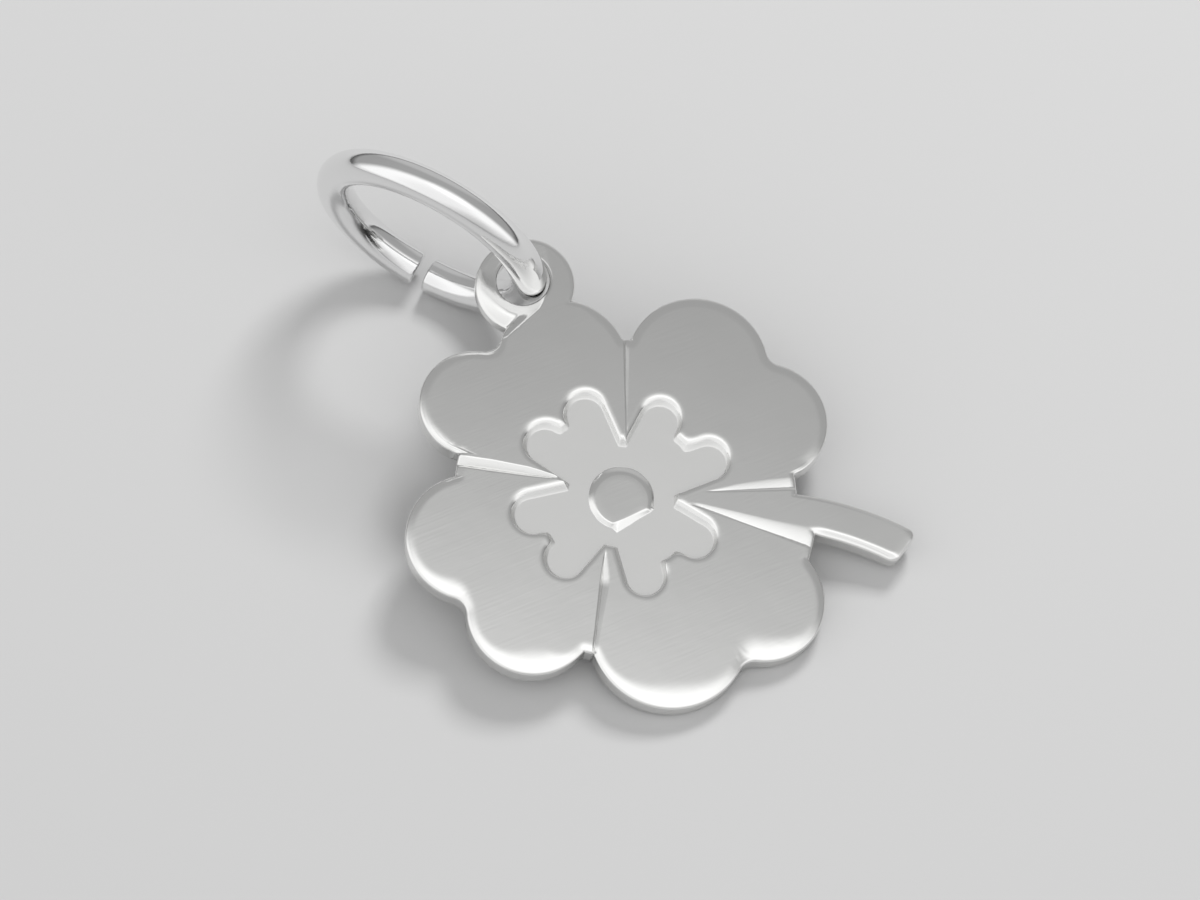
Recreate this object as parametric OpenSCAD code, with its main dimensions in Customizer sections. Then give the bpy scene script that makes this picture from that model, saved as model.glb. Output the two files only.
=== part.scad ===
// Four leaf clover pendant with a split jump ring, lying on a surface.
// The clover is one stamped piece: leaves, stem, eyelet and relief.
// It is drawn flat, leaf face at z = 0, then laid down as it rests:
// on the two lobes of its lowest leaf and on the bottom of the jump ring.
// +Y is towards the eyelet, the top of the pendant when it is worn.

/* [Leaves] */
// Farthest reach of the leaves from the middle of the flower, mm
clover_r = 6.6; // [5.6:0.1:9]
// Distance of the notches between two leaves from the middle, mm
notch_r = 4.8; // [3.6:0.1:5.2]
// Radius of the hollow between the two lobes of a leaf, mm
cleft_r = 0.5; // [0.2:0.1:1]
// Thickness of the clover, mm
plate_t = 0.85; // [0.7:0.05:1.6]

/* [Flower] */
// Reach of the sunk flower's floor from its middle, mm
flower_r = 3.15; // [2.4:0.05:3.6]
// Radius of the round end of a petal's lobe, mm
petal_r = 0.52; // [0.35:0.01:0.65]
// Radius of the flower's open middle, mm
core_r = 1.52; // [1.2:0.05:1.8]
// Depth of the flower's floor below the leaves, mm
flower_depth = 0.45; // [0.15:0.01:0.55]
// Slope of the flower's walls and of the button, degrees
wall_slope = 60; // [45:1:75]
// Diameter of the raised button's top, mm
button_d = 1.52; // [0.8:0.05:1.9]

/* [Grooves] */
// Depth of a groove between two leaves at its outer end, mm
groove_depth = 0.36; // [0.1:0.02:0.5]
// Depth of a groove at its inner end, mm
groove_fade = 0.08; // [0.03:0.01:0.2]

/* [Stem] */
// Distance of the stem's tip from the middle of the flower, mm
stem_r = 8.3; // [7.2:0.1:11]
// Width of the stem beyond the leaves, mm
stem_w = 1.14; // [0.7:0.02:1.5]
// Width of the stem where it starts at the flower, mm
stem_root_w = 0.42; // [0.2:0.02:0.6]
// Bending radius of the stem beyond the leaves, mm
stem_bend_r = 9.5; // [7:0.5:60]
// Slant of the stem's cut end, degrees
stem_slant = 10; // [0:1:25]
// Radius of the rounded corners at the stem's end, mm
stem_corner = 0.22; // [0.05:0.01:0.3]

/* [Eyelet] */
// Diameter of the eyelet's hole, mm
eye_d = 1.52; // [1.3:0.01:1.9]
// Wall of the eyelet round its hole, mm
eye_wall = 0.68; // [0.45:0.01:0.9]
// Sideways place of the hole's centre, towards the stem's side, mm
eye_side = 0.07; // [-0.3:0.01:0.3]
// Distance of the eyelet's outline below its hole, mm
eye_drop = 0.14; // [0:0.01:0.2]
// Distance of the hole's centre beyond the lobe that carries it, mm
eye_stand = 0.84; // [0.7:0.02:1.1]
// Slope of the eyelet's face, falling away from the leaf, degrees
eye_slope = 8; // [2:1:12]
// Width of the shoulder where the leaf steps down to the eyelet, mm
eye_shoulder = 0.06; // [0.03:0.01:0.2]

/* [Jump ring] */
// Inner diameter of the jump ring, mm
ring_d = 5.35; // [4.6:0.05:8]
// Diameter of the ring's wire, mm
wire_d = 1.05; // [0.8:0.01:1.2]
// Width of the split between the wire's ends, mm
split_w = 0.35; // [0.1:0.05:0.6]
// Place of the split round the ring, from the eyelet down, degrees
split_at = 90; // [60:1:300]
// Direction in which the ring leaves the eyelet, degrees
ring_dir = 128; // [100:1:150]
// Direction in which the wire leans in the hole, degrees
lean_dir = -50; // [-120:1:-30]
// Gap left between the wire and the side of the hole it leans on, mm
lean_gap = 0.04; // [0.03:0.01:0.1]

/* [Hidden] */
$fn = 96;
OVER = 0.2; // how far a cut runs past a face
TOUCH = 0.003; // how far a hollow's arc runs into the arcs that it joins

// Leaves, a row for each: direction, middle and radius of the first lobe,
// then of the second. Lengths are shares of clover_r.
LEAVES = [
    [6, 0.735, 0.273, 37.4, 0.705, 0.313],
    [88.7, 0.667, 0.285, 123.6, 0.753, 0.247],
    [173.6, 0.683, 0.285, 210, 0.658, 0.283],
    [264.9, 0.637, 0.347, 299.6, 0.757, 0.277]
];

// Petals, a row for each: direction and reach of the first lobe, of the
// second, and reach of the web between them. Reaches are shares of flower_r.
PETALS = [
    [-0.4, 1.04, 39.7, 0.97, 0.79],
    [89, 1, 122.8, 1, 0.86],
    [170.8, 1, 207, 0.97, 0.8],
    [261.7, 0.96, 305.6, 0.95, 0.75]
];

// Grooves, a row for each: direction and distance of the inner end, the same
// of the outer end, and half the width as a share of its depth. The inner
// distances are shares of flower_r, the outer ones of notch_r.
GROOVES = [
    [67, 0.62, 64.7, 1.04, 0.16],
    [139.8, 0.62, 146, 1.04, 0.42],
    [233.5, 0.58, 235.2, 1.04, 0.4],
    [-22, 0.62, -19.4, 1.06, 0.42],
    [-31, 0.68, -35, 1.16, 0.42]
];

// Webs that fill the notches beside the stem, a row for each: direction of its
// two sides and its reach as a share of notch_r
WEBS = [
    [-28, -14, 1.056],
    [-45, -26, 1.18]
];

function polar(a, r) = [r * cos(a), r * sin(a)];

// Lobes as circles: [middle, radius]
function first_lobe(leaf) = [polar(leaf[0], leaf[1] * clover_r), leaf[2] * clover_r];
function second_lobe(leaf) = [polar(leaf[3], leaf[4] * clover_r), leaf[5] * clover_r];

// Middle of the circle of radius r that touches circles p and q from outside,
// on the right of the way from p to q
function fillet_middle(p, q, r) =
    let (way = q[0] - p[0], d = norm(way),
         a = p[1] + r, b = q[1] + r,
         along = (d * d + a * a - b * b) / (2 * d),
         aside = sqrt(a * a - along * along))
    p[0] + along * way / d + aside * [way[1], -way[0]] / d;

// Leaf outline: its two lobes, the fill to the middle and the soft cleft
module leaf_outline(leaf) {
    p = first_lobe(leaf);
    q = second_lobe(leaf);
    f = fillet_middle(p, q, cleft_r);
    translate(p[0]) circle(p[1]);
    translate(q[0]) circle(q[1]);
    polygon([[0, 0], p[0], q[0]]);
    difference() {
        polygon([p[0], f, q[0]]);
        translate(f) circle(cleft_r + TOUCH);
    }
}

// Stem: it leaves the flower straight and bends beyond stem_turn
stem_dir = -27.5;
stem_start = 0.55 * flower_r;
stem_turn = 0.96 * notch_r;
stem_steps = 6;
function stem_bend(s) = asin(max(0, s - stem_turn) / stem_bend_r);
// Middle line at s mm from the flower's middle, along the stem's direction
function stem_mid(s) =
    let (drop = stem_bend_r * (1 - cos(stem_bend(s))))
    [s * cos(stem_dir) + drop * sin(stem_dir), s * sin(stem_dir) - drop * cos(stem_dir)];
function stem_half(s) =
    let (part = min(1, max(0, s - stem_start) / (stem_turn - stem_start)))
    (stem_root_w + (stem_w - stem_root_w) * part) / 2;
function stem_side(s, side) =
    let (half = stem_half(s), a = stem_dir - stem_bend(s))
    stem_mid(s) + side * half * [-sin(a), cos(a)];
tip_dir = stem_dir - stem_bend(stem_r);
function stem_tip(side) =
    stem_side(stem_r, side) + side * tan(stem_slant) * stem_w / 2 * polar(tip_dir, 1);
// Middle of the round corner at the tip, between the stem's side and its end
function corner_middle(side) =
    let (open = (90 - side * stem_slant) / 2)
    stem_tip(side) - stem_corner / sin(open) * polar(tip_dir + side * open, 1);

module stem_outline() {
    stations = [for (i = [0:stem_steps - 1]) stem_start + i * (stem_r - stem_start) / stem_steps];
    upper = [for (s = stations) stem_side(s, 1)];
    lower = [for (i = [stem_steps - 1:-1:0]) stem_side(stations[i], -1)];
    ends = [for (side = [1, -1]) corner_middle(side)];
    edge = stem_corner - TOUCH;
    polygon(concat(
        upper,
        [ends[0] + edge * polar(tip_dir + 90, 1), ends[0] + edge * polar(tip_dir - stem_slant, 1),
         ends[1] + edge * polar(tip_dir - stem_slant, 1), ends[1] + edge * polar(tip_dir - 90, 1)],
        lower));
    for (end = ends) translate(end) circle(stem_corner);
}

// Eyelet, on the first lobe of the second leaf
eye_r = eye_d / 2 + eye_wall;
eye_y = (LEAVES[1][1] + LEAVES[1][2]) * clover_r + eye_stand;
eye_mid = [eye_side, eye_y - eye_drop];

// Fill of the notch beside the stem
module web(row) {
    far = 2 * clover_r;
    intersection() {
        circle(row[2] * notch_r);
        polygon([[0, 0], polar(row[0], far), polar(row[1], far)]);
    }
}

// Flat blank, before the relief
module blank() {
    translate([0, 0, -plate_t]) {
        linear_extrude(plate_t) {
            circle(notch_r);
            for (leaf = LEAVES) leaf_outline(leaf);
            for (row = WEBS) web(row);
        }
        linear_extrude(plate_t) stem_outline();
        translate(eye_mid) cylinder(h = plate_t, r = eye_r);
    }
}

// Sunk flower, as the solid that is cut out of the leaves
function spread(r, h) = r + h / tan(wall_slope);
cut_h = flower_depth + OVER;

module pit(r) {
    translate([0, 0, -flower_depth]) cylinder(h = cut_h, r1 = r, r2 = spread(r, cut_h));
}

// Channel with sloped sides from the middle out to a round end
module channel(direction, reach, r) {
    length = reach - r;
    rotate([0, 0, direction]) {
        translate([length, 0, 0]) pit(r);
        rotate([90, 0, 90]) linear_extrude(length)
            polygon([[-r, -flower_depth], [r, -flower_depth],
                     [spread(r, cut_h), OVER], [-spread(r, cut_h), OVER]]);
    }
}

// Raised button in the flower's middle, level with the leaves
module button() {
    r = button_d / 2;
    translate([0, 0, -flower_depth - OVER])
        cylinder(h = cut_h, r1 = spread(r, cut_h), r2 = r);
}

module flower_cut() {
    difference() {
        union() {
            pit(core_r);
            for (petal = PETALS) {
                channel(petal[0], petal[1] * flower_r, petal_r);
                channel(petal[2], petal[3] * flower_r, petal_r);
                channel((petal[0] + petal[2]) / 2, petal[4] * flower_r, petal_r);
            }
        }
        button();
    }
}

// V-shaped groove that deepens outwards, as a tilted bar on its edge
module groove(row) {
    inner = polar(row[0], row[1] * flower_r);
    outer = polar(row[2], row[3] * notch_r);
    way = outer - inner;
    length = norm(way);
    half = row[4] * groove_depth;
    fall = atan((groove_depth - groove_fade) / length);
    translate([inner[0], inner[1], -groove_fade])
        rotate([0, 0, atan2(way[1], way[0])])
            rotate([0, fall, 0])
                rotate([90, 0, 90]) linear_extrude(length + OVER)
                    polygon([[0, 0], [2 * half, 2 * groove_depth], [-2 * half, 2 * groove_depth]]);
}

// Space above the eyelet's sloping face
module eye_fall() {
    intersection() {
        translate(concat(eye_mid, [-plate_t / 2])) cylinder(h = plate_t, r = eye_r + eye_shoulder);
        translate([eye_side + eye_d / 2 + eye_shoulder, eye_y, 0]) rotate([0, -eye_slope, 0])
            translate([-3 * eye_r, -2 * eye_r, 0]) cube([3 * eye_r, 4 * eye_r, plate_t]);
    }
}

module flat_clover() {
    difference() {
        blank();
        flower_cut();
        for (row = GROOVES) groove(row);
        eye_fall();
        translate([eye_side, eye_y, -plate_t - OVER]) cylinder(h = plate_t + 2 * OVER, d = eye_d);
    }
}

// Jump ring, square to the plate, its wire leaning on the side of the hole
ring_r = (ring_d + wire_d) / 2;
lean = (eye_d - wire_d) / 2 - lean_gap;
wire_mid = [eye_side, eye_y] + polar(lean_dir, lean);
ring_mid = concat(wire_mid + polar(ring_dir, ring_r), [-plate_t / 2]);
split_angle = split_w / ring_r * 180 / PI;

module flat_ring() {
    translate(ring_mid) rotate([0, 0, ring_dir + 180]) rotate([-90, 0, 0])
        rotate([0, 0, split_at + split_angle / 2])
            rotate_extrude(angle = 360 - split_angle) translate([ring_r, 0]) circle(d = wire_d);
}

// Rest: the line under the lowest leaf's two lobes is the axis of the tilt
low_p = first_lobe(LEAVES[3]);
low_q = second_lobe(LEAVES[3]);
low_way = low_q[0] - low_p[0];
rest_dir = atan2(low_way[1], low_way[0]) - acos((low_p[1] - low_q[1]) / norm(low_way));
axis_dir = rest_dir + 90;
ring_normal = concat(polar(ring_dir - 90, 1), [0]);

// Plate direction that becomes direction w once the plate is tilted by t
function untilt(w, t) =
    let (k = concat(polar(axis_dir, 1), [0]))
    w * cos(t) - cross(k, w) * sin(t) + k * (k * w) * (1 - cos(t));
// How far a disc at height z, and the ring, reach in plate direction q
function disc_reach(disc, z, q) =
    q[0] * disc[0][0] + q[1] * disc[0][1] + q[2] * z + disc[1] * norm([q[0], q[1]]);
function ring_reach(q) =
    let (c = q * ring_normal) q * ring_mid + ring_r * sqrt(1 - c * c) + wire_d / 2;
// Height of the ring's bottom above the line under the lobes, at tilt t
function ring_height(t) =
    let (down = untilt([0, 0, -1], t))
    disc_reach(low_p, -plate_t, down) - ring_reach(down);
// The tilt at which both touch, by halving the range
function settle(low, high, n) =
    let (t = (low + high) / 2)
    n == 0 ? t : ring_height(t) > 0 ? settle(low, t, n - 1) : settle(t, high, n - 1);
tilt = settle(0, 45, 30);

// Discs and corners of the clover's outline, for its reach along X and Y
DISCS = concat([for (leaf = LEAVES) first_lobe(leaf)], [for (leaf = LEAVES) second_lobe(leaf)],
               [[eye_mid, eye_r]],
               [for (side = [1, -1]) [corner_middle(side), stem_corner]]);
function reach(w) =
    let (q = untilt(w, tilt))
    max(concat([for (disc = DISCS, z = [0, -plate_t]) disc_reach(disc, z, q)], [ring_reach(q)]));
shift_x = (reach([-1, 0, 0]) - reach([1, 0, 0])) / 2;
shift_y = (reach([0, -1, 0]) - reach([0, 1, 0])) / 2;
lift = reach([0, 0, -1]);

module at_rest() {
    translate([shift_x, shift_y, lift]) rotate(a = tilt, v = [cos(axis_dir), sin(axis_dir), 0])
        children();
}

module clover() {
    color("silver") at_rest() flat_clover();
}

module jump_ring() {
    color("gainsboro") at_rest() flat_ring();
}

clover();
jump_ring();
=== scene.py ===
import bmesh
import bpy
import numpy as np
from mathutils import Matrix, Vector


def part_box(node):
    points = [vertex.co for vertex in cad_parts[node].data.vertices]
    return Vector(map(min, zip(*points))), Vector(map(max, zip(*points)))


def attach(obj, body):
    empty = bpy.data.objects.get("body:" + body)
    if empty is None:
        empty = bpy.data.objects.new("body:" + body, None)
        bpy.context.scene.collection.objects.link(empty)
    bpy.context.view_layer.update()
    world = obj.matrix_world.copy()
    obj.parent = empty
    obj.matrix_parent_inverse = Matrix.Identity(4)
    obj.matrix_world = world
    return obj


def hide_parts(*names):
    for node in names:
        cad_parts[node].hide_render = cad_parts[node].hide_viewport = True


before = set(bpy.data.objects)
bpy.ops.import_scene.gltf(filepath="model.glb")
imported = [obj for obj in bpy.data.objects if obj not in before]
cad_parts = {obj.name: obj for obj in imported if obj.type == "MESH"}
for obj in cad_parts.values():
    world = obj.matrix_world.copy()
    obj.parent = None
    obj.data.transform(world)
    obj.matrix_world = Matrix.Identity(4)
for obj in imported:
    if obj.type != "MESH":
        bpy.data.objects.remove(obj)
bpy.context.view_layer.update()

# Clover plan. The real clover is one blank of sterling silver sheet, cut to the outline of four
# heart-shaped leaves, a stem and an eyelet, then stamped and polished. The plan is drawn flat in
# millimetres about the middle of the flower, with the leaves' face at height 0 and the eyelet at +Y.
MM = 0.001
PLATE = 0.85
LEAF_REACH = 6.6
NOTCH_REACH = 4.8
CLEFT_ROUND = 0.5
EDGE_ROUND = 0.10
# Direction in degrees, distance and radius of each lobe, as shares of the leaves' reach
LOBES = [
    (6.0, 0.735, 0.273), (37.4, 0.705, 0.313),
    (88.7, 0.667, 0.285), (123.6, 0.753, 0.247),
    (173.6, 0.683, 0.285), (210.0, 0.658, 0.283),
    (264.9, 0.637, 0.347), (299.6, 0.757, 0.277),
]
# Webs that fill the notches beside the stem: from and to directions, share of the notches' reach
WEBS = [(-28.0, -14.0, 1.056), (-45.0, -26.0, 1.18)]
CORNER_POWER = 80
# Steps between the spokes of the mesh in degrees, and how far the fine ones reach from a notch
SPOKE_STEP = 0.5
FINE_STEP = 0.25
FINE_REACH = 4


def polar(direction, reach):
    """Point at a direction in degrees and a reach: reach times its cosine and its sine."""
    angle = np.radians(direction)
    return np.stack([reach * np.cos(angle), reach * np.sin(angle)], axis=-1)


def crossing(rays, middle, radius, side):
    """Where rays from the flower's middle cross a circle: the circle's middle along the ray, plus
    (side 1) or minus (side -1) the root of radius squared less its distance aside squared."""
    way = polar(rays, np.ones_like(rays))
    along = way @ middle
    aside = way[..., 0] * middle[1] - way[..., 1] * middle[0]
    inside = radius ** 2 - aside ** 2
    return np.where(inside > 0, along + side * np.sqrt(np.maximum(inside, 0)), 0)


def soft_max(reaches, power):
    """Largest of several reaches with its corners rounded: the root of the sum of their powers."""
    reaches = np.maximum(np.array(reaches), 1e-3)
    return (reaches ** power).sum(axis=0) ** (1 / power)


def direction_of(point):
    """Direction of a point in degrees, from -180 to 180."""
    return np.degrees(np.arctan2(point[..., 1], point[..., 0]))


def touching(p, p_radius, q, q_radius, radius):
    """Middle of the circle of a radius that touches two circles from outside, right of the way
    from p to q, by the triangle of the three middles."""
    way = q - p
    length = np.hypot(*way)
    a = p_radius + radius
    b = q_radius + radius
    along = (length ** 2 + a ** 2 - b ** 2) / (2 * length)
    aside = np.sqrt(a ** 2 - along ** 2)
    return p + (along * way + aside * np.array([way[1], -way[0]])) / length


def turned(rays, start):
    """The same directions, counted up from a start."""
    return (np.asarray(rays) - start) % 360 + start


def leaves_edge(rays):
    """Reach of the leaves' face along each ray: the far side of the farthest lobe, inside a cleft
    the near side of its rounding, and at least the notches' reach, all one edge rounding inwards."""
    reach = np.zeros_like(rays)
    for direction, distance, radius in LOBES:
        middle = polar(direction, distance * LEAF_REACH)
        reach = np.maximum(reach, crossing(rays, middle, radius * LEAF_REACH - EDGE_ROUND, 1))
    for first, second in zip(LOBES[::2], LOBES[1::2]):
        p = polar(first[0], first[1] * LEAF_REACH)
        q = polar(second[0], second[1] * LEAF_REACH)
        hollow = touching(p, first[2] * LEAF_REACH, q, second[2] * LEAF_REACH, CLEFT_ROUND)
        round_in = CLEFT_ROUND + EDGE_ROUND
        start = direction_of(hollow + (p - hollow) * round_in / np.hypot(*(p - hollow)))
        stop = direction_of(hollow + (q - hollow) * round_in / np.hypot(*(q - hollow)))
        within = turned(rays, start) <= turned(stop, start)
        reach = np.where(within, crossing(rays, hollow, round_in, -1), reach)
    floor = np.full_like(rays, NOTCH_REACH - EDGE_ROUND)
    for start, stop, share in WEBS:
        within = turned(rays, start) <= turned(stop, start)
        floor = np.where(within, share * NOTCH_REACH - EDGE_ROUND, floor)
    return soft_max([reach, floor], CORNER_POWER)


# Stem plan: a strip that leaves the flower straight and bends beyond the notches, with a slanted
# end whose corners are rounded. A place on it is its offset from the middle line and its bend.
STEM_DIR = -27.5
STEM_HALF = 0.57 - EDGE_ROUND
STEM_BEND = 9.5
STEM_TURN = 0.96 * NOTCH_REACH
STEM_REACH = 8.3
STEM_SLANT = np.tan(np.radians(10))
STEM_CORNER = 0.22 - EDGE_ROUND / 2
STEM_CORNER_STEPS = 12
STEM_ROWS = 30
# Bends among which the corners between the stem and the webs are searched
BENDS = np.linspace(-0.1, 0.3, 401)


def on_stem(offset, bend):
    """Point on the bent stem: on the circle of the bend's radius plus the offset, bend radians on."""
    reach = STEM_BEND + offset
    x = STEM_TURN + reach * np.sin(bend)
    y = reach * np.cos(bend) - STEM_BEND
    turn = np.radians(STEM_DIR)
    return np.stack([x * np.cos(turn) - y * np.sin(turn),
                     x * np.sin(turn) + y * np.cos(turn)], axis=-1)


def stem_place(points):
    """Offset and bend of points, the reverse of on_stem."""
    turn = np.radians(STEM_DIR)
    x = points[..., 0] * np.cos(turn) + points[..., 1] * np.sin(turn) - STEM_TURN
    y = points[..., 1] * np.cos(turn) - points[..., 0] * np.sin(turn) + STEM_BEND
    return np.hypot(x, y) - STEM_BEND, np.arctan2(x, y)


def stem_corner(side, web):
    """Point where a side of the stem leaves the web beside it: the bend at which it reaches it."""
    side_points = on_stem(side * STEM_HALF, BENDS)
    reach = web[2] * NOTCH_REACH - EDGE_ROUND
    bend = np.interp(reach, np.hypot(side_points[:, 0], side_points[:, 1]), BENDS)
    return on_stem(side * STEM_HALF, bend)


def stem_end(count):
    """Edge round the stem's end from its lower to its upper side: a quarter circle, the slanted
    cut, a quarter circle, as evenly spaced offsets and bends."""
    turn = np.radians(np.linspace(-90, 0, STEM_CORNER_STEPS))
    inner = STEM_HALF - STEM_CORNER
    low = np.stack([STEM_CORNER * np.cos(turn), -inner + STEM_CORNER * np.sin(turn)], axis=-1)
    edge = np.concatenate([low, np.stack([low[::-1, 0], -low[::-1, 1]], axis=-1)])
    edge[:, 0] += STEM_SLANT * edge[:, 1] - STEM_CORNER - EDGE_ROUND
    steps = np.concatenate([[0], np.cumsum(np.hypot(*np.diff(edge, axis=0).T))])
    even = np.linspace(0, steps[-1], count)
    along = np.interp(even, steps, edge[:, 0])
    offset = np.interp(even, steps, edge[:, 1])
    tip_bend = np.arcsin((STEM_REACH - STEM_TURN) / STEM_BEND)
    return offset, tip_bend + along / STEM_BEND


# Eyelet plan: a round eye on the first lobe of the upper leaf, which carries the jump ring. Its
# outline is an arc about a point a little below the hole, between the two waists at the lobe.
EYE_HOLE = np.array([0.07, 7.123])
EYE_MIDDLE = np.array([0.07, 6.983])
HOLE_R = 0.76
EYE_R = 1.44 - EDGE_ROUND
EYE_STEPS = 120


def waists():
    """The two points where the eyelet's edge crosses its lobe's edge, right one first."""
    direction, distance, radius = LOBES[2]
    lobe = polar(direction, distance * LEAF_REACH)
    lobe_r = radius * LEAF_REACH - EDGE_ROUND
    way = lobe - EYE_MIDDLE
    length = np.hypot(*way)
    along = (length ** 2 + EYE_R ** 2 - lobe_r ** 2) / (2 * length)
    aside = np.sqrt(EYE_R ** 2 - along ** 2) / length
    base = EYE_MIDDLE + along * way / length
    return base + aside * np.array([-way[1], way[0]]), base - aside * np.array([-way[1], way[0]])


low_corner = stem_corner(-1, WEBS[1])
high_corner = stem_corner(1, WEBS[0])
right_waist, left_waist = waists()
START = float(direction_of(low_corner))
fan_stop = float(turned(direction_of(high_corner), START))
eye_start = float(turned(direction_of(right_waist), START))
eye_stop = float(turned(direction_of(left_waist), START))
NOTCH_DIRECTIONS = [-19.4, -38.0, 64.7, 146.0, 235.2]
# Slack in degrees when a ray is compared with the place where a grid begins or ends
SLACK = 1e-9

fine = [np.arange(d - FINE_REACH, d + FINE_REACH, FINE_STEP) for d in NOTCH_DIRECTIONS]
even = np.arange(START, START + 360, SPOKE_STEP)
rays = np.unique(np.round(turned(np.concatenate([even] + fine), START), 3))
keys = np.array([START, fan_stop, eye_start, eye_stop])
apart = np.min(np.abs(rays[:, None] - np.append(keys, START + 360)[None]), axis=1)
rays = np.sort(np.concatenate([rays[apart > FINE_STEP / 2], keys]))

fan = rays <= fan_stop + SLACK
eye = (rays >= eye_start - SLACK) & (rays <= eye_stop + SLACK)
edge_reach = leaves_edge(rays)
corner_reach = np.interp(rays, [START, fan_stop], [np.hypot(*low_corner), np.hypot(*high_corner)])
edge_reach = np.where(fan, corner_reach, edge_reach)
edge_reach = np.where(eye, crossing(rays, EYE_MIDDLE, EYE_R, -1), edge_reach)
leaf_edge = polar(rays, edge_reach)

eye_turn_start = direction_of(right_waist - EYE_MIDDLE)
eye_turn_stop = turned(direction_of(left_waist - EYE_MIDDLE), eye_turn_start)
eye_turns = np.linspace(eye_turn_start, eye_turn_stop, EYE_STEPS)
eye_arc = EYE_MIDDLE + polar(eye_turns, EYE_R)

fan_offset, fan_bend = stem_place(leaf_edge[fan])
end_offset, end_bend = stem_end(fan.sum())
side_rows = np.linspace(0, 1, STEM_ROWS)[:, None]
stem_grid = on_stem(fan_offset + (end_offset - fan_offset) * side_rows,
                    fan_bend + (end_bend - fan_bend) * side_rows)

# The face's whole edge, counter-clockwise from the stem's upper corner
edge_loop = np.concatenate([
    leaf_edge[~fan & (rays < eye_start - SLACK)],
    eye_arc,
    leaf_edge[rays > eye_stop + SLACK],
    stem_grid[:, 0],
    stem_grid[-1, 1:-1],
    stem_grid[::-1, -1],
])


def edge_outward(loop, rounds):
    """Outward direction at each point of a closed loop: across the way from its last to its next
    neighbour, averaged with its neighbours a few times, so that it turns gently at corners."""
    way = np.roll(loop, -1, axis=0) - np.roll(loop, 1, axis=0)
    out = np.stack([way[:, 1], -way[:, 0]], axis=-1)
    out /= np.hypot(*out.T)[:, None]
    for _ in range(rounds):
        out = (np.roll(out, -1, axis=0) + 2 * out + np.roll(out, 1, axis=0)) / 4
    return out / np.hypot(*out.T)[:, None]


# Clover relief. The flower is sunk into the leaves with steep walls, a round button stands in its
# middle, a groove parts each two leaves, and two grooves leave the stem standing between them. The
# die has left soft shoulders round the flower and a soft roll along the cut edges.
FLOWER_REACH = 3.15
FLOWER_DEPTH = 0.20
PETAL_R = 0.52
CORE_R = 1.52
# The walls' mean width in plan, the direction and distance by which their tops lie to one side, so
# that the far walls lean more, and the direction in which walls are thinner and by how much
WALL_RUN = 0.15
WALL_SHIFT = (66.0, 0.10)
WALL_THIN = (-25.0, 0.06)
# Shares of an even slope and of a smooth step in the walls' profile
WALL_PROFILE = (0.7, 0.3)
# Width and fall of the soft shoulder round the flower
SHOULDER_WIDTH = 0.12
SHOULDER_FALL = 0.012
# Direction and reach of each petal's two lobes, and the reach of the web between them
PETALS = [
    (-0.4, 1.04, 39.7, 0.97, 0.74), (89.0, 1.0, 122.8, 1.0, 0.80),
    (170.8, 1.0, 207.0, 0.97, 0.75), (261.7, 0.96, 305.6, 0.95, 0.71),
]
WEB_POWER = 14
PETAL_POWER = 60
# The button's top is a circle cut straight towards the lowest leaf, and its base has a corner there
BUTTON_R = 0.87
BUTTON_CUT = 0.66
BUTTON_CUT_SIDE = -90.0
BUTTON_POWER = 60
BUTTON_RISE = 0.09
# Width of the button's slope in plan, and what the near side has more
BUTTON_RUN = 0.03
BUTTON_NEAR_RUN = 0.07
# The roll of its edge: the far side's direction, then the least width as a share of the radius and
# the least fall, each with what the far side has more
BUTTON_FAR = 65.0
BUTTON_ROLL_SHARE = (0.05, 0.22)
BUTTON_ROLL_FALL = (0.004, 0.07)
BUTTON_CORNERS = np.array([(0.72, -0.68), (0.4, 0.5), (-0.5, 0.5), (-0.86, -0.12), (-0.55, -0.93)])
# Share of even turning among the spokes at the flower, and how finely its edge is searched
EVEN_TURN = 0.3
TURN_STEPS = 14401
TOP_STEPS = 7201
TOP_SLAB = 40
TOP_ROUNDS = 10


def channel_exit(rays, direction, reach, radius):
    """Where rays leave a slot with a round end: radius over the sine while that lies on the
    straight side, and else the far side of the end's circle."""
    turn = np.radians((rays - direction + 180) % 360 - 180)
    length = reach - radius
    aside = radius / np.maximum(np.abs(np.sin(turn)), 1e-6)
    end = crossing(rays, polar(direction, length), radius, 1)
    ahead = np.cos(turn) > 0
    return np.where(ahead & (aside * np.cos(turn) < length), aside, np.where(ahead, end, 0))


def flower_edge(rays, spread):
    """Reach of the flower along each ray, grown all round by spread: the farthest of its round
    middle, its lobes and the webs between them."""
    radius = PETAL_R + spread
    reaches = [np.full_like(rays, CORE_R + spread)]
    for first, first_reach, second, second_reach, web_reach in PETALS:
        lobes = ((first, first_reach), (second, second_reach), ((first + second) / 2, web_reach))
        petal = [channel_exit(rays, direction, share * FLOWER_REACH + spread, radius)
                 for direction, share in lobes]
        reaches.append(soft_max(petal, WEB_POWER))
    return soft_max(reaches, PETAL_POWER)


def flower_rays(spread):
    """Directions where the spokes cross the flower's edge: counted along a measure that is part
    even turning and part even steps along that edge, so that steep sides get spokes too."""
    turns = np.linspace(0, 360, TURN_STEPS)
    points = polar(START + turns, flower_edge(START + turns, spread))
    steps = np.append(0, np.cumsum(np.hypot(*np.diff(points, axis=0).T)))
    measure = EVEN_TURN * turns / 360 + (1 - EVEN_TURN) * steps / steps[-1]
    return START + np.interp((rays - START) / 360, measure, turns)


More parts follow.
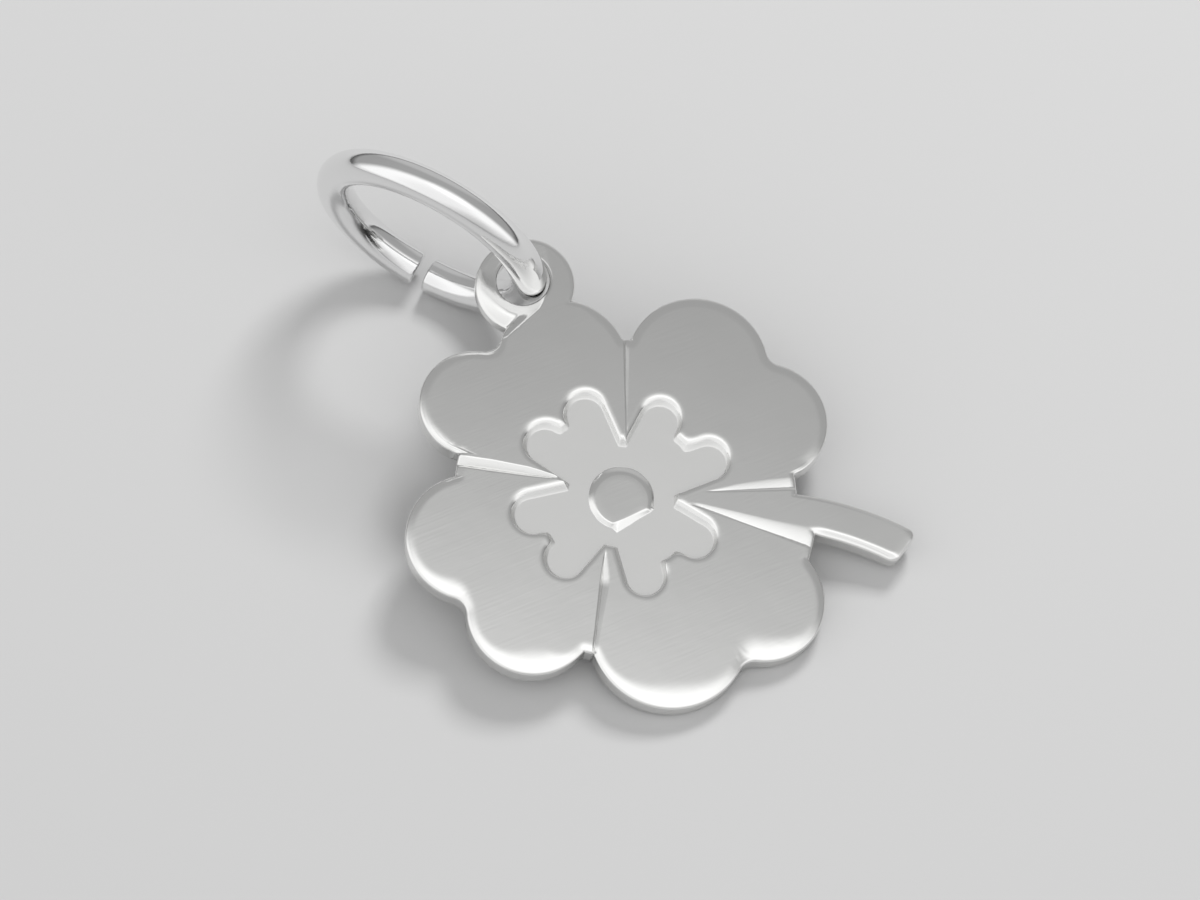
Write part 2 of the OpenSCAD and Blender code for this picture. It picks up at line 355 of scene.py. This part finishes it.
def wall_top_rays(points, out):
    """Directions of the walls' top beside each point of the flower's edge: where the grown edge is
    nearest to the point pushed outward by the walls' width, kept in order and evened out a little."""
    turns = np.linspace(0, 360, TOP_STEPS)
    grown = polar(START + turns, flower_edge(START + turns, WALL_RUN))
    target = points + WALL_RUN * out
    own = direction_of(points)
    near = [((target[i:i + TOP_SLAB, None] - grown[None]) ** 2).sum(axis=2).argmin(axis=1)
            for i in range(0, len(target), TOP_SLAB)]
    found = START + turns[np.concatenate(near)]
    order = floor_rays + (found - own + 180) % 360 - 180
    order = np.maximum.accumulate(np.concatenate([order - 360, order, order + 360]))
    for _ in range(TOP_ROUNDS):
        order[1:-1] = (order[:-2] + 2 * order[1:-1] + order[2:]) / 4
    return order[len(points):2 * len(points)]


def polygon_exit(rays, corners):
    """Where rays from inside leave a convex polygon: the least of each side's distance from the
    middle over the cosine of the angle between the ray and the side's normal."""
    way = np.roll(corners, -1, axis=0) - corners
    normal = np.stack([way[:, 1], -way[:, 0]], axis=-1) / np.hypot(*way.T)[:, None]
    normal *= np.sign((normal * corners).sum(axis=1))[:, None]
    distance = (normal * corners).sum(axis=1)
    facing = np.maximum(polar(rays, np.ones_like(rays)) @ normal.T, 1e-3)
    return (distance / facing).min(axis=1)


def smooth(share):
    """Gentle step from 0 to 1: 3 s^2 - 2 s^3."""
    share = np.clip(share, 0, 1)
    return share * share * (3 - 2 * share)


# Each groove: inner and outer end of its bottom line, then its depth, its width on the left of the
# way out and its width on the right, each at the shares GROOVE_STATIONS of its length. In turn: the
# groove at the top, at the left and at the bottom, and those above and below the stem.
GROOVE_STATIONS = (0, 0.25, 0.6, 1)
GROOVES = [
    ((0.95, 1.80), (2.12, 4.55),
     (0.01, 0.03, 0.06, 0.08), (0.03, 0.03, 0.03, 0.03), (0.04, 0.08, 0.13, 0.15)),
    ((-1.60, 1.24), (-4.16, 2.78),
     (0.05, 0.12, 0.15, 0.14), (0.06, 0.09, 0.10, 0.10), (0.08, 0.20, 0.26, 0.26)),
    ((-1.22, -1.50), (-2.74, -4.08),
     (0.03, 0.11, 0.08, 0.06), (0.08, 0.25, 0.17, 0.11), (0.03, 0.04, 0.03, 0.03)),
    ((2.50, -0.88), (4.98, -1.72),
     (0.01, 0.02, 0.03, 0.04), (0.04, 0.17, 0.27, 0.32), (0.04, 0.06, 0.08, 0.10)),
    ((1.86, -1.10), (4.58, -3.60),
     (0.012, 0.026, 0.044, 0.065), (0.10, 0.22, 0.38, 0.62), (0.03, 0.03, 0.03, 0.03)),
]
# Length over which a groove runs out at its inner end, and the power of its profile
GROOVE_FADE = 0.15
GROOVE_POWER = 1.35


def groove_depth(points):
    """Depth of the grooves at each point: a V across the bottom line, whose depth and widths run
    from station to station of its length."""
    deepest = np.zeros(points.shape[:-1])
    for inner, outer, depths, lefts, rights in GROOVES:
        start = np.array(inner)
        way = np.array(outer) - start
        length = np.hypot(*way)
        way = way / length
        ahead = (points - start) @ way
        aside = (points - start) @ np.array([-way[1], way[0]])
        share = ahead / length
        left = np.interp(share, GROOVE_STATIONS, lefts)
        right = np.interp(share, GROOVE_STATIONS, rights)
        across = np.where(aside > 0, aside / left, -aside / right)
        before = np.maximum(-ahead, 0) / GROOVE_FADE
        vee = np.clip(1 - np.hypot(across, before), 0, 1)
        depth = np.interp(share, GROOVE_STATIONS, depths)
        deepest = np.maximum(deepest, depth * vee ** GROOVE_POWER)
    return deepest


# Roll of the cut edge: least width and fall, what the edge that faces the given direction has more,
# how closely it has to face it, and the distance beyond the notches over which the more sets in
EDGE_ROLL = (0.20, 0.024)
EDGE_ROLL_MORE = (0.50, 0.051)
EDGE_ROLL_SIDE = 250.0
EDGE_ROLL_FOCUS = 4
EDGE_ROLL_ONSET = 0.8
EDGE_ROLL_POWER = 2.3
# The roll is thinner by this share beside the stem, from so far before its turn and within so much
# of its middle line, and within a distance of the eyelet, each setting in over a length
ROLL_THINNER = 0.72
THIN_BEFORE = 1.2
THIN_ASIDE = 1.6
THIN_EYE = 2.4
THIN_ONSET = 0.8
THIN_ASIDE_ONSET = 0.5
# Fall of the crowned face per square of the distance from the flower's middle
FACE_CROWN = 0.0025
SLAB = 4000


def nearest(points, loop):
    """Distance from each point to the nearest point of a loop and which one that is, worked out a
    slab at a time."""
    flat = points.reshape(-1, 2)
    near = [((flat[i:i + SLAB, None] - loop[None]) ** 2).sum(axis=2).argmin(axis=1)
            for i in range(0, len(flat), SLAB)]
    index = np.concatenate(near)
    distance = np.hypot(*(flat - loop[index]).T)
    return distance.reshape(points.shape[:-1]), index.reshape(points.shape[:-1])


facing = np.radians(direction_of(edge_outward(edge_loop, 30)) - EDGE_ROLL_SIDE)
beyond_notches = smooth((np.hypot(*edge_loop.T) - NOTCH_REACH) / EDGE_ROLL_ONSET)
roll_side = np.clip(np.cos(facing), 0, 1) ** EDGE_ROLL_FOCUS * beyond_notches

# Crease where the eyelet's foot starts to fall from the leaf, as a line from left to right, and
# how the foot falls from it towards the left: its depth, and the width of the fall at two levels
CREASE = np.array([(-6.0, 9.0), (-1.80, 6.5), (-1.62, 5.44), (-1.16, 5.66), (-0.59, 5.88),
                   (0.15, 6.14), (0.55, 6.46), (0.95, 7.2), (1.3, 9.0)])
FOOT_FALL = 0.15
FOOT_LEVELS = (6.2, 7.2)
FOOT_WIDTHS = (1.3, 2.3)
# Where the eyelet's edge is rolled off most: direction, fall and width, the power of the facing, and
# the share of the foot's fall at which the roll starts and over which it sets in
EYE_ROLL = (222.0, 0.16, 0.40)
EYE_ROLL_FOCUS = 1.5
EYE_ROLL_FROM = 0.3
# Chamfer along the stem's lower side: width and fall, the bend at which it starts, the bend over
# which it sets in, the power of its profile, and how far beside the stem it may reach
STEM_CHAMFER = (0.13, 0.05)
CHAMFER_START = 0.09
CHAMFER_ONSET = 0.06
CHAMFER_POWER = 1.7
CHAMFER_MARGIN = 0.05


def stem_chamfer(offset, bend):
    """Fall of the chamfer at places on the stem: it grows to the full fall at the lower side."""
    set_in = smooth((bend - CHAMFER_START) / CHAMFER_ONSET)
    lower = np.clip(1 - (offset + STEM_HALF) / STEM_CHAMFER[0], 0, 1) * set_in
    near_stem = np.abs(offset) < STEM_HALF + CHAMFER_MARGIN
    return np.where(near_stem, STEM_CHAMFER[1] * lower ** CHAMFER_POWER, 0)


def foot_fall(points, gap):
    """Fall of the eyelet's foot, steep at the crease and level at its end, and with it the roll of
    the eyelet's edge, which grows towards its own direction and towards the edge."""
    x, y = points[..., 0], points[..., 1]
    crease = CREASE[2:]
    width = np.interp(y, FOOT_LEVELS, FOOT_WIDTHS)
    share = np.clip((np.interp(y, crease[:, 1], crease[:, 0]) - x) / width, 0, 1)
    side, most, reach = EYE_ROLL
    facing = np.cos(np.radians(direction_of(points - EYE_MIDDLE) - side))
    set_in = np.clip((share - EYE_ROLL_FROM) / EYE_ROLL_FROM, 0, 1)
    roll = np.clip(facing, 0, 1) ** EYE_ROLL_FOCUS * set_in
    fall = FOOT_FALL * (1 - (1 - share) ** 2) + roll * most * np.clip(1 - gap / reach, 0, 1) ** 2
    on_foot = y > np.interp(x, CREASE[:, 0], CREASE[:, 1])
    return np.where(on_foot, fall, 0)


def face_height(points):
    """Height of the face outside the flower: a soft roll towards the cut edge, a slight crown and a
    shoulder at the flower's edge, less the grooves or the stem's chamfer, less the foot's fall."""
    gap, index = nearest(points, edge_loop)
    offset, bend = stem_place(points)
    beside_stem = smooth((bend * STEM_BEND + THIN_BEFORE) / THIN_ONSET)
    beside_stem = beside_stem * smooth((THIN_ASIDE - np.abs(offset)) / THIN_ASIDE_ONSET)
    from_eye = np.hypot(*np.moveaxis(points - EYE_MIDDLE, -1, 0))
    beside_eye = smooth((THIN_EYE - from_eye) / THIN_ONSET)
    thin = 1 - ROLL_THINNER * np.maximum(beside_stem, beside_eye)
    more = roll_side[index]
    width = (EDGE_ROLL[0] + EDGE_ROLL_MORE[0] * more) * thin
    fall = (EDGE_ROLL[1] + EDGE_ROLL_MORE[1] * more) * thin
    height = -fall * np.clip(1 - gap / width, 0, 1) ** EDGE_ROLL_POWER
    height -= FACE_CROWN * (points ** 2).sum(axis=-1)
    shoulder = nearest(points, wall_loop)[0]
    height -= SHOULDER_FALL * np.clip(1 - shoulder / SHOULDER_WIDTH, 0, 1) ** 2
    height -= np.maximum(groove_depth(points), stem_chamfer(offset, bend))
    return height - foot_fall(points, gap)


# Clover mesh: a grid from the button over the flower to the edge of the leaves, whose spokes follow
# the flower's edge, a grid round the eyelet's hole, a grid along the stem, and a rounded belt along
# the edges. Each grid line is a share of the way from one ring of the relief to the next.
TOP_ROWS = np.array([0, 0.3, 0.55, 0.72])
ROLL_ROWS = np.linspace(0, 1, 6)[1:]
SLOPE_ROWS = np.linspace(0, 1, 8)[1:]
FLOOR_ROWS = np.array([0.012, 0.04, 0.11, 0.24, 0.4, 0.56, 0.72, 0.85, 0.93, 0.972, 0.99])
WALL_ROWS = np.linspace(0, 1, 9)
# The leaves' rows lie closer at both ends: part even shares, part a cosine step
EVEN_PART = 0.55
LEAF_STEPS = 36
cosine_step = 1 - np.cos(np.linspace(0, np.pi, LEAF_STEPS))
LEAF_ROWS = (EVEN_PART * np.linspace(0, 1, LEAF_STEPS) + (1 - EVEN_PART) / 2 * cosine_step)[1:]
EYE_ROWS = np.linspace(0, 1, 21)
BACK_ROWS = np.linspace(0, 1, 10)
EDGE_STEPS = 6
WALL_STEPS = 4
# Doubled points this close are merged, in metres
MERGE = 2e-7


def between(inner, outer, shares):
    """Rows of points at shares of the way from an inner to an outer line of points."""
    shares = np.asarray(shares)[:, None, None]
    return inner[None] * (1 - shares) + outer[None] * shares


def swept(inner_rays, inner_reach, outer_rays, outer_reach, shares, drift):
    """Rows of points from one ring to the next: the reach grows evenly with the share, and the
    direction turns from the inner to the outer ray with the drift of the share."""
    shares = np.asarray(shares)[:, None]
    turn = drift(shares)
    return polar(inner_rays + (outer_rays - inner_rays) * turn,
                 inner_reach + (outer_reach - inner_reach) * shares)


def grid(points, closed, flip):
    """Points and four-sided faces of a grid of rows and columns, closed round its columns."""
    rows, columns = points.shape[:2]
    index = np.arange(rows * columns).reshape(rows, columns)
    if closed:
        index = np.concatenate([index, index[:, :1]], axis=1)
    faces = np.stack([index[:-1, :-1], index[1:, :-1], index[1:, 1:], index[:-1, 1:]], axis=-1)
    faces = faces.reshape(-1, 4)
    return points.reshape(-1, 3), faces[:, ::-1] if flip else faces


def lifted(points, height):
    """Plan points with their height as the third coordinate."""
    return np.concatenate([points, np.broadcast_to(height, points.shape[:-1])[..., None]], axis=-1)


def edge_belt(loop, height, rounds, flip):
    """Rounded side of the plate, carried along an edge: a quarter circle out from the face, the
    straight wall, and a quarter circle back in to the underside."""
    out = edge_outward(loop, rounds)
    quarter = np.linspace(0, np.pi / 2, EDGE_STEPS)
    reach = EDGE_ROUND * np.concatenate([np.sin(quarter), np.ones(WALL_STEPS - 2), np.cos(quarter)])
    fall = EDGE_ROUND * (1 - np.cos(quarter))
    foot = -PLATE + EDGE_ROUND * (1 - np.sin(quarter))
    middle = np.linspace(0, 1, WALL_STEPS)[1:-1, None]
    top = height[None] - fall[:, None]
    wall = top[-1:] * (1 - middle) + foot[0] * middle
    levels = np.concatenate([top, wall, np.broadcast_to(foot[:, None], (EDGE_STEPS, len(loop)))])
    spread = loop[None] + (-1 if flip else 1) * reach[:, None, None] * out[None]
    return grid(lifted(spread, levels), True, flip)


floor_rays = flower_rays(0.0)
floor_reach = flower_edge(floor_rays, 0.0)
floor_loop = polar(floor_rays, floor_reach)
wall_rays = wall_top_rays(floor_loop, edge_outward(floor_loop, 2))
wall_reach = flower_edge(wall_rays, WALL_RUN)
wall_loop = polar(wall_rays, wall_reach)
wall_out = edge_outward(wall_loop, 6)
thinner = np.clip(np.cos(np.radians(direction_of(wall_out) - WALL_THIN[0])), 0, 1) ** 2
wall_loop += polar(*WALL_SHIFT) - WALL_THIN[1] * thinner[:, None] * wall_out
wall_rays = wall_rays + (direction_of(wall_loop) - wall_rays + 180) % 360 - 180
wall_reach = np.hypot(*wall_loop.T)

# The button's top is flat, with an edge that is rolled softly on the far side and crisp on the near
far = (1 + np.cos(np.radians(rays - BUTTON_FAR))) / 2
roll_width = BUTTON_R * (BUTTON_ROLL_SHARE[0] + BUTTON_ROLL_SHARE[1] * far)
roll_fall = BUTTON_ROLL_FALL[0] + BUTTON_ROLL_FALL[1] * far
cut = BUTTON_CUT / np.maximum(np.cos(np.radians(rays - BUTTON_CUT_SIDE)), 0.1)
top_reach = 1 / soft_max([np.full_like(rays, 1 / BUTTON_R), 1 / cut], BUTTON_POWER)
run = BUTTON_RUN + BUTTON_NEAR_RUN * (1 - far)
base_reach = soft_max([top_reach + run, polygon_exit(rays, BUTTON_CORNERS)], BUTTON_POWER)
roll_shares = ROLL_ROWS[:, None]
roll_points = polar(rays, top_reach - roll_width * (1 - roll_shares))
slope_shares = SLOPE_ROWS[:, None]
slope_points = polar(rays, top_reach + (base_reach - top_reach) * slope_shares)
button_top = BUTTON_RISE - FLOWER_DEPTH
slope_height = button_top - roll_fall - (BUTTON_RISE - roll_fall) * slope_shares
floor_points = swept(rays, base_reach, floor_rays, floor_reach, FLOOR_ROWS,
                     lambda share: 1 - (1 - share) ** 2)
wall_points = between(floor_loop, wall_loop, WALL_ROWS)
wall_face = face_height(wall_points)
wall_shares = WALL_ROWS[:, None]
wall_profile = WALL_PROFILE[0] * wall_shares + WALL_PROFILE[1] * smooth(wall_shares)
wall_height = -FLOWER_DEPTH + (wall_face + FLOWER_DEPTH) * wall_profile
leaf_points = swept(wall_rays, wall_reach, rays, np.hypot(*leaf_edge.T), LEAF_ROWS,
                    lambda share: share ** 2)
leaf_height = face_height(leaf_points)
face = np.concatenate([
    lifted(polar(rays, (top_reach - roll_width) * TOP_ROWS[:, None] / TOP_ROWS[-1]), button_top),
    lifted(roll_points, button_top - roll_fall * roll_shares ** 2),
    lifted(slope_points, slope_height),
    lifted(floor_points, -FLOWER_DEPTH),
    lifted(wall_points, wall_height),
    lifted(leaf_points, leaf_height),
])

eye_edge = np.concatenate([eye_arc[:-1], leaf_edge[eye][::-1][:-1]])
hole_edge = EYE_HOLE + polar(direction_of(eye_edge - EYE_HOLE), HOLE_R + EDGE_ROUND)
eye_points = between(hole_edge, eye_edge, EYE_ROWS)
eye_face = face_height(eye_points)
stem_face = face_height(stem_grid)
loop_height = face_height(edge_loop)

parts = [
    grid(face, True, False),
    grid(lifted(eye_points, eye_face), True, False),
    grid(lifted(stem_grid, stem_face), False, False),
    grid(lifted(between(np.zeros_like(leaf_edge), leaf_edge, BACK_ROWS), -PLATE), True, True),
    grid(lifted(eye_points[::4], -PLATE), True, True),
    grid(lifted(stem_grid, -PLATE), False, True),
    edge_belt(edge_loop, loop_height, 10, False),
    edge_belt(hole_edge, eye_face[0], 0, True),
]

# Pose: the pendant rests on the two lobes of its lowest leaf and on the bottom of the jump ring,
# so the plate is tilted about the line under those lobes. The frame gives the place on the floor.
TILT = np.radians(11.8337)
TILT_AXIS = np.radians(6.18805)


def laid_down(points):
    """Plan points turned by the tilt about the line under the lowest leaf's lobes."""
    axis = np.array([np.cos(TILT_AXIS), np.sin(TILT_AXIS), 0.0])
    along = (points @ axis)[..., None] * axis
    return points * np.cos(TILT) + np.cross(axis, points) * np.sin(TILT) + along * (1 - np.cos(TILT))


def seated(points, node):
    """Laid down points moved to where the frame has the node: middle to middle, lowest to lowest."""
    points = laid_down(points) * MM
    low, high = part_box(node)
    middle = (points.min(axis=0) + points.max(axis=0)) / 2
    shift = (np.array(low) + np.array(high)) / 2 - middle
    shift[2] = low[2] - points[:, 2].min()
    return points + shift


def mesh_piece(name, points, faces, frost):
    """Object with a closed smooth mesh: doubled points merged, faces shaded smooth. Each point
    keeps how frosted the surface is there, from 0 to 1."""
    mesh = bpy.data.meshes.new(name)
    mesh.from_pydata(points.tolist(), [], faces.tolist())
    frosted = mesh.attributes.new("frost", "FLOAT", "POINT")
    frosted.data.foreach_set("value", frost.astype(np.float32))
    work = bmesh.new()
    work.from_mesh(mesh)
    bmesh.ops.remove_doubles(work, verts=work.verts, dist=MERGE)
    for item in work.faces:
        item.smooth = True
    work.to_mesh(mesh)
    work.free()
    piece = bpy.data.objects.new(name, mesh)
    bpy.context.scene.collection.objects.link(piece)
    return piece


# The flower's floor is frosted, and so are the lowest rows of its walls
FROSTED_WALL_ROWS = 5
counts = np.cumsum([0] + [len(points) for points, _ in parts[:-1]])
clover_points = np.concatenate([points for points, _ in parts])
clover_faces = np.concatenate([faces + count for (_, faces), count in zip(parts, counts)])
clover_frost = np.zeros(len(clover_points))
floor_start = (len(TOP_ROWS) + len(ROLL_ROWS) + len(SLOPE_ROWS)) * len(rays)
floor_stop = floor_start + (len(FLOOR_ROWS) + FROSTED_WALL_ROWS) * len(rays)
clover_frost[floor_start:floor_stop] = 1
clover = mesh_piece("stamped_clover", seated(clover_points, "clover"), clover_faces, clover_frost)

# Silver: what frost adds to the roughness, how far the roughness wanders as shares of its value,
# the noise range that it follows, and the noise scales of that and of the faint waviness
FROST_ROUGHNESS = 0.33
ROUGHNESS_SHARES = (0.85, 1.2)
CLOUD_RANGE = (0.3, 0.7)
CLOUD_SCALE = 350
WAVE_SCALE = 500
# Wiping marks: direction in degrees, stretch along it and noise scale. Heights of marks and waves.
WIPING = [(35, 0.04, 16000), (-50, 0.05, 12000)]
SCRATCH_HEIGHT = 0.002 * MM
WAVE_HEIGHT = 0.02 * MM


def silver(name, color, roughness, scratch, wave):
    """Polished silver: metal whose roughness wanders a little and grows where the surface is
    frosted, with fine wiping marks in two directions and a faint waviness, all on object
    coordinates."""
    material = bpy.data.materials.new(name)
    material.use_nodes = True
    nodes, links = material.node_tree.nodes, material.node_tree.links
    shader = nodes["Principled BSDF"]
    shader.inputs["Base Color"].default_value = (*color, 1)
    shader.inputs["Metallic"].default_value = 1.0
    place = nodes.new("ShaderNodeTexCoord")

    def marks(turn, stretch, scale):
        """Noise drawn out along one direction of the surface."""
        mapping = nodes.new("ShaderNodeMapping")
        mapping.inputs["Rotation"].default_value = (0, 0, np.radians(turn))
        mapping.inputs["Scale"].default_value = (stretch, 1, 1)
        noise = nodes.new("ShaderNodeTexNoise")
        noise.inputs["Scale"].default_value = scale
        noise.inputs["Detail"].default_value = 3
        links.new(place.outputs["Object"], mapping.inputs["Vector"])
        links.new(mapping.outputs["Vector"], noise.inputs["Vector"])
        return noise.outputs["Fac"]

    cloud = marks(0, 1, CLOUD_SCALE)
    spread = nodes.new("ShaderNodeMapRange")
    spread.inputs["From Min"].default_value = CLOUD_RANGE[0]
    spread.inputs["From Max"].default_value = CLOUD_RANGE[1]
    spread.inputs["To Min"].default_value = roughness * ROUGHNESS_SHARES[0]
    spread.inputs["To Max"].default_value = roughness * ROUGHNESS_SHARES[1]
    links.new(cloud, spread.inputs["Value"])
    frost = nodes.new("ShaderNodeAttribute")
    frost.attribute_name = "frost"
    dulled = nodes.new("ShaderNodeMath")
    dulled.operation = "MULTIPLY_ADD"
    dulled.inputs[1].default_value = FROST_ROUGHNESS
    links.new(frost.outputs["Fac"], dulled.inputs[0])
    links.new(spread.outputs["Result"], dulled.inputs[2])
    links.new(dulled.outputs[0], shader.inputs["Roughness"])
    wiped = nodes.new("ShaderNodeMath")
    wiped.operation = "ADD"
    links.new(marks(*WIPING[0]), wiped.inputs[0])
    links.new(marks(*WIPING[1]), wiped.inputs[1])
    fine_bump = nodes.new("ShaderNodeBump")
    fine_bump.inputs["Strength"].default_value = scratch
    fine_bump.inputs["Distance"].default_value = SCRATCH_HEIGHT
    wide_bump = nodes.new("ShaderNodeBump")
    wide_bump.inputs["Strength"].default_value = wave
    wide_bump.inputs["Distance"].default_value = WAVE_HEIGHT
    links.new(marks(0, 1, WAVE_SCALE), wide_bump.inputs["Height"])
    links.new(wiped.outputs[0], fine_bump.inputs["Height"])
    links.new(wide_bump.outputs["Normal"], fine_bump.inputs["Normal"])
    links.new(fine_bump.outputs["Normal"], shader.inputs["Normal"])
    return material


clover.data.materials.append(silver("stamped_silver", (0.82, 0.82, 0.81),
                                    roughness=0.14, scratch=0.3, wave=0.3))
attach(clover, "root")
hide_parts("clover")

# Jump ring: round silver wire bent to a ring and left open a little at its split, so that it can
# be twisted open. It stands on the floor and leans in the eyelet's hole.
RING_D = 5.35
WIRE_D = 1.05
RING_TURN = 128.0
RING_MIDDLE = np.array([-1.77477, 9.49546, -0.425])
SPLIT_AT = 90.0
SPLIT_WIDTH = 0.35
END_ROUND = 0.08
# Shares of the wire's radius at which the flat cut has its rows, and how fine the ring is
CUT_ROWS = [0.0, 0.35, 0.7]
CUT_STEPS = 6
RING_STEPS = 260
WIRE_SIDES = 56


def ring_grid():
    """Wire carried round the ring: rings of points about its middle circle. At both ends the
    wire's radius closes to a point through a rounded edge and a flat cut."""
    radius = (RING_D + WIRE_D) / 2
    half = np.degrees(SPLIT_WIDTH / 2 / radius)
    turns = np.radians(np.linspace(SPLIT_AT + half, SPLIT_AT + 360 - half, RING_STEPS))
    quarter = np.linspace(0, np.pi / 2, CUT_STEPS)
    cut = np.concatenate([CUT_ROWS, 1 - END_ROUND / (WIRE_D / 2) * (1 - np.sin(quarter))])
    inward = np.concatenate([np.zeros(len(CUT_ROWS)), END_ROUND / radius * (1 - np.cos(quarter))])
    wire = np.concatenate([cut[:-1], np.ones(RING_STEPS - 2), cut[::-1][1:]]) * WIRE_D / 2
    body = turns[1:-1]
    turn = np.concatenate([turns[0] + inward[:-1], body, turns[-1] - inward[::-1][1:]])
    side = np.linspace(0, 2 * np.pi, WIRE_SIDES, endpoint=False)
    reach = radius + wire[:, None] * np.cos(side)
    across = wire[:, None] * np.sin(side)
    forward = polar(RING_TURN + 180, 1.0)
    normal = polar(RING_TURN - 90, 1.0)
    flat = (reach * np.cos(turn)[:, None])[..., None] * forward + across[..., None] * normal
    height = -reach * np.sin(turn)[:, None]
    return np.concatenate([flat, height[..., None]], axis=-1) + RING_MIDDLE


ring_points, ring_faces = grid(ring_grid(), True, False)
ring_frost = np.zeros(len(ring_points))
ring = mesh_piece("wire_ring", seated(ring_points, "jump_ring"), ring_faces, ring_frost)
ring.data.materials.append(silver("ring_silver", (0.85, 0.85, 0.85),
                                  roughness=0.07, scratch=0.25, wave=0.5))
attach(ring, "root")
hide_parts("jump_ring")

# Floor: plain pale card, far wider than the pendant.
FLOOR_SIZE = 3.0
FLOOR_GREY = 0.57
bpy.ops.mesh.primitive_plane_add(size=FLOOR_SIZE)
floor = bpy.context.object
floor.name = "floor"
card = bpy.data.materials.new("pale_card")
card.use_nodes = True
card_shader = card.node_tree.nodes["Principled BSDF"]
card_shader.inputs["Base Color"].default_value = (FLOOR_GREY, FLOOR_GREY, FLOOR_GREY, 1)
card_shader.inputs["Roughness"].default_value = 0.9
card_shader.inputs["Specular IOR Level"].default_value = 0.1
floor.data.materials.append(card)

# Camera: the photograph's angle, from above the lowest leaf and a little to the left. Its middle
# is moved in the picture so that the pendant lies where the photograph has it.
AZIMUTH = np.radians(-24.6)
ELEVATION = np.radians(61.0)
DISTANCE = 150 * MM
SIDEWAYS = -0.6286 * MM
UPWARDS = 1.2857 * MM
LENS = 157.5
SENSOR = 36
flower_middle = seated(np.concatenate([clover_points, [[0, 0, 0]]]), "clover")[-1]
right = Vector((np.cos(AZIMUTH), np.sin(AZIMUTH), 0))
back = Vector((np.sin(AZIMUTH) * np.cos(ELEVATION),
               -np.cos(AZIMUTH) * np.cos(ELEVATION), np.sin(ELEVATION)))
up = back.cross(right)
camera_data = bpy.data.cameras.new("camera")
camera_data.lens = LENS
camera_data.sensor_width = SENSOR
camera_data.clip_start = 0.005
camera_data.clip_end = 10
camera = bpy.data.objects.new("camera", camera_data)
bpy.context.scene.collection.objects.link(camera)
camera.matrix_world = Matrix((right, up, back)).transposed().to_4x4()
camera.location = Vector(flower_middle) + SIDEWAYS * right + UPWARDS * up + DISTANCE * back
bpy.context.scene.camera = camera

# Studio light: one wide soft box over the half of the sky at the front, towards the camera, and a
# grey sky that darkens towards the horizon over the other half, in which the leaves are mirrored.
world = bpy.data.worlds.new("studio")
world.use_nodes = True
bpy.context.scene.world = world
tree = world.node_tree
sky = tree.nodes.new("ShaderNodeTexCoord")
backdrop = tree.nodes["Background"]
HORIZON_GREY = 0.10
# Direction on the dome as compass angle from +Y towards +X and elevation, the angles from it
# between which the glow grows from nothing to its full strength, and that strength. In turn: the
# soft box, the grey sky in two steps, a glow before and a strip behind, and two darker strips.
PANELS = [
    ((219, 5), 98, 75, 0.74),
    ((0, 90), 90, 80, 0.28),
    ((0, 90), 75, 30, 0.03),
    ((160, 75), 28, 8, 0.16),
    ((40, 12), 40, 20, 0.16),
    ((190, -15), 55, 20, -0.38),
    ((222, 30), 50, 15, -0.14),
]


def glow(direction, start, stop, amount):
    """Brightness that grows from 0 to amount as a direction of the dome comes within an angle of a
    panel's middle: a smooth step of the cosine between the two angles, in degrees."""
    azimuth, elevation = np.radians(direction)
    dot = tree.nodes.new("ShaderNodeVectorMath")
    dot.operation = "DOT_PRODUCT"
    dot.inputs[1].default_value = (np.sin(azimuth) * np.cos(elevation),
                                   np.cos(azimuth) * np.cos(elevation), np.sin(elevation))
    step = tree.nodes.new("ShaderNodeMapRange")
    step.interpolation_type = "SMOOTHSTEP"
    step.inputs["From Min"].default_value = np.cos(np.radians(start))
    step.inputs["From Max"].default_value = np.cos(np.radians(stop))
    step.inputs["To Min"].default_value = 0
    step.inputs["To Max"].default_value = amount
    tree.links.new(sky.outputs["Generated"], dot.inputs[0])
    tree.links.new(dot.outputs["Value"], step.inputs["Value"])
    return step.outputs["Result"]


total = None
for panel in PANELS:
    add = tree.nodes.new("ShaderNodeMath")
    add.operation = "ADD"
    add.inputs[0].default_value = HORIZON_GREY
    if total is not None:
        tree.links.new(total, add.inputs[0])
    tree.links.new(glow(*panel), add.inputs[1])
    total = add.outputs[0]
tree.links.new(total, backdrop.inputs["Strength"])
backdrop.inputs["Color"].default_value = (1, 1, 1, 1)

# Key light: a soft panel over the far right side, which the silver doesn't mirror, for the shadow
KEY_PLACE = (0.12, 0.10, 0.17)
KEY_SIZE = 0.07
KEY_POWER = 0.30
key = bpy.data.lights.new("key", "AREA")
key.size = KEY_SIZE
key.energy = KEY_POWER
key_object = bpy.data.objects.new("key", key)
bpy.context.scene.collection.objects.link(key_object)
key_object.location = KEY_PLACE
key_object.rotation_euler = key_object.location.to_track_quat("Z", "Y").to_euler()
key_object.visible_glossy = False
bpy.context.scene.view_settings.view_transform = "Standard"
